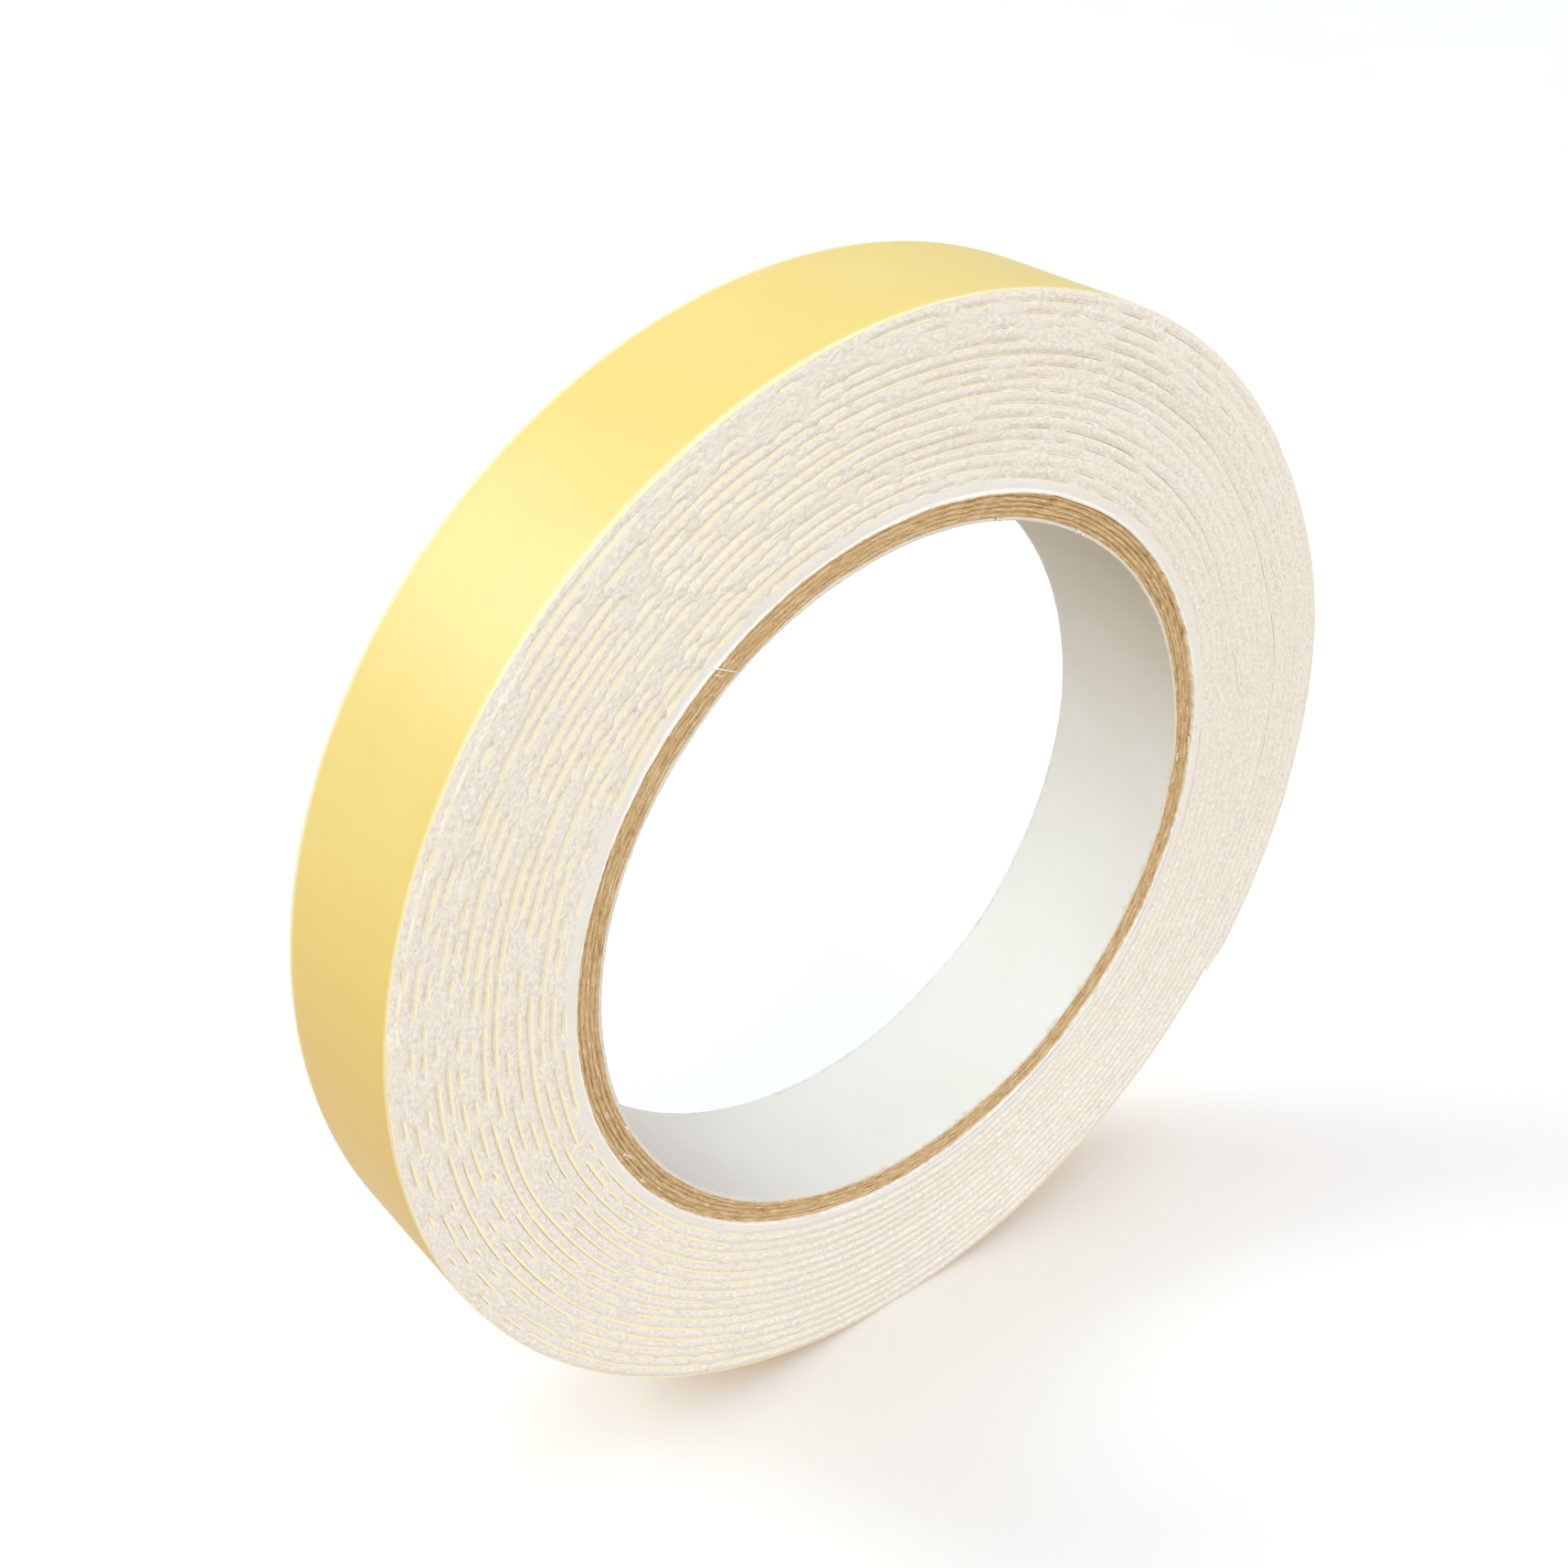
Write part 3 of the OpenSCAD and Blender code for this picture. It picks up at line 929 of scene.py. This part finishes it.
def build_core():
    """The plies of the core, from the bore out, and the fuzz on their edges."""
    nodes = ["bore_ply"] + KRAFT + ["wrap_ply"]
    ply_faces = [BORE_R] + [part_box(node)[1].x / MM for node in nodes]
    for index, node in enumerate(nodes):
        radii = ply_faces[index:index + 2]
        if node == "bore_ply":
            obj = ply_piece("bore_lining", index, radii, lining, wall_rows=24,
                            wall_shape=lining_seam)
        elif node == "wrap_ply":
            obj = ply_piece("core_wrap", index, radii, wrap, out=WRAP_OUT)
        else:
            obj = ply_piece(f"brown_ply_{index}", index, radii, kraft_material(index),
                            rounding=PLY_ROUNDING)
        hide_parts(node)
        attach(obj, "roll")
    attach(torn_fibres(wrap), "roll")


def tail_way(s):
    """Direction of the tape at an arc length, on its outer face."""
    ends = place(np.array([s, s + 0.5]), np.full((2, 1), PITCH), np.zeros((2, 1)))[:, 0]
    way = ends[1] - ends[0]
    return Vector(way / np.linalg.norm(way))


def build_tape():
    """The wound tape, which rides on the roll, and its free end, cut into pieces where it lifts and where
    its liner peels.
    """
    waves = noise_field(51, 701, 3)
    inner, outer = (0, ADHESIVE_1_TOP), (FOAM_TOP, ADHESIVE_2_TOP)
    wound = [
        (foam_piece("wound_foam", 0, TAIL_S, foam), "foam_strip"),
        (liner_piece("wound_liner", 0, TAIL_S, liner, waves), "release_liner"),
        (film_piece("wound_inner_adhesive", 0, TAIL_S, *inner, adhesive), "inner_adhesive"),
        (film_piece("wound_outer_adhesive", 0, TAIL_S, *outer, adhesive), "outer_adhesive"),
    ]
    for obj, node in wound:
        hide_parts(node)
        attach(obj, "roll")
    tail = [
        (foam_piece("end_foam", TAIL_S, END_S, foam), "tail_foam"),
        (liner_piece("end_liner", TAIL_S, PEEL_S, liner, waves), "tail_liner"),
        (film_piece("end_inner_adhesive", TAIL_S, END_S, *inner, adhesive), "tail_inner_adhesive"),
        (film_piece("end_outer_adhesive", TAIL_S, END_S, *outer, adhesive), "tail_outer_adhesive"),
    ]
    for obj, node in tail:
        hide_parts(node)
        TAIL_HINGE + TAIL_BEND * MM * tail_way(TAIL_S)
        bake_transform(obj)
    flap = liner_piece("end_liner_flap", PEEL_S, END_S, liner, waves)
    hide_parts("liner_flap")
    PEEL_HINGE + PEEL_BEND * MM * tail_way(PEEL_S)
    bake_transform(flap)


# ---------------------------------------------------------------- floor, light and camera

# Half the side of the floor, in metres
FLOOR_HALF = 4.0
# The camera's place, what it looks at, and its focal length, at the angle of the photo
CAMERA_AT = Vector((-113.7, -131.2, 116.7)) * MM
CAMERA_LOOKS_AT = Vector((-4.28, 7.40, 5.04)) * MM
LENS = 45.96


def build_stage():
    """The floor under the roll."""
    mesh = bpy.data.meshes.new("floor")
    corners = [(-1, -1), (1, -1), (1, 1), (-1, 1)]
    corners = [(x * FLOOR_HALF, y * FLOOR_HALF, cad_box[0].z) for x, y in corners]
    mesh.from_pydata(corners, [], [(0, 1, 2, 3)])
    mesh.materials.append(floor_material())
    floor = bpy.data.objects.new("floor", mesh)
    # The floor shows, and takes the roll's shadow, but throws no light back up at it
    floor.visible_diffuse = floor.visible_shadow = False
    bpy.context.scene.collection.objects.link(floor)


def soft_light(name, at, size, power, colour):
    """A round area light that looks at the roll."""
    data = bpy.data.lights.new(name, "AREA")
    data.shape, data.size, data.energy, data.color = "DISK", size, power, colour
    light = bpy.data.objects.new(name, data)
    light.location = at
    light.rotation_mode = "QUATERNION"
    light.rotation_quaternion = (-Vector(at)).to_track_quat("-Z", "Y")
    bpy.context.scene.collection.objects.link(light)


# Light of the studio from above and below the horizon, which blend up to this height on both sides of it
SKY_ABOVE, SKY_BELOW, SKY_BLEND = (0.81, 0.83, 0.90), (0.39, 0.29, 0.145), 0.3
# Each soft light's name, place, size, power and colour
SOFT_LIGHTS = [
    ("front", (-0.30, -1.60, 0.60), 1.0, 13.0, (1.0, 0.926, 0.723)),
    ("back_left", (-0.80, 1.00, 0.85), 0.9, 12.0, (0.793, 0.947, 1.0)),
]


def build_light():
    """The studio's even light, and the soft lights."""
    world = bpy.data.worlds.new("studio")
    world.use_nodes = True
    nodes, links = world.node_tree.nodes, world.node_tree.links
    way = nodes.new("ShaderNodeTexCoord").outputs["Generated"]
    parts = nodes.new("ShaderNodeSeparateXYZ")
    height = nodes.new("ShaderNodeMapRange")
    height.interpolation_type = "SMOOTHSTEP"
    height.inputs["From Min"].default_value = -SKY_BLEND
    height.inputs["From Max"].default_value = SKY_BLEND
    sky = nodes.new("ShaderNodeMix")
    sky.data_type = "RGBA"
    sky.inputs[6].default_value = (*SKY_BELOW, 1)
    sky.inputs[7].default_value = (*SKY_ABOVE, 1)
    links.new(way, parts.inputs[0])
    links.new(parts.outputs["Z"], height.inputs["Value"])
    links.new(height.outputs[0], sky.inputs[0])
    links.new(sky.outputs[2], nodes["Background"].inputs["Color"])
    bpy.context.scene.world = world
    for light in SOFT_LIGHTS:
        soft_light(*light)
    bpy.context.scene.view_settings.view_transform = "Standard"


def build_camera():
    """The camera, at the photo's angle."""
    data = bpy.data.cameras.new("camera")
    data.lens, data.clip_start, data.clip_end = LENS, 0.005, 50
    camera = bpy.data.objects.new("camera", data)
    camera.location = CAMERA_AT
    camera.rotation_mode = "QUATERNION"
    camera.rotation_quaternion = (CAMERA_LOOKS_AT - CAMERA_AT).to_track_quat("-Z", "Y")
    bpy.context.scene.collection.objects.link(camera)
    bpy.context.scene.camera = camera


build_camera()
build_core()
build_tape()
build_stage()
build_light()
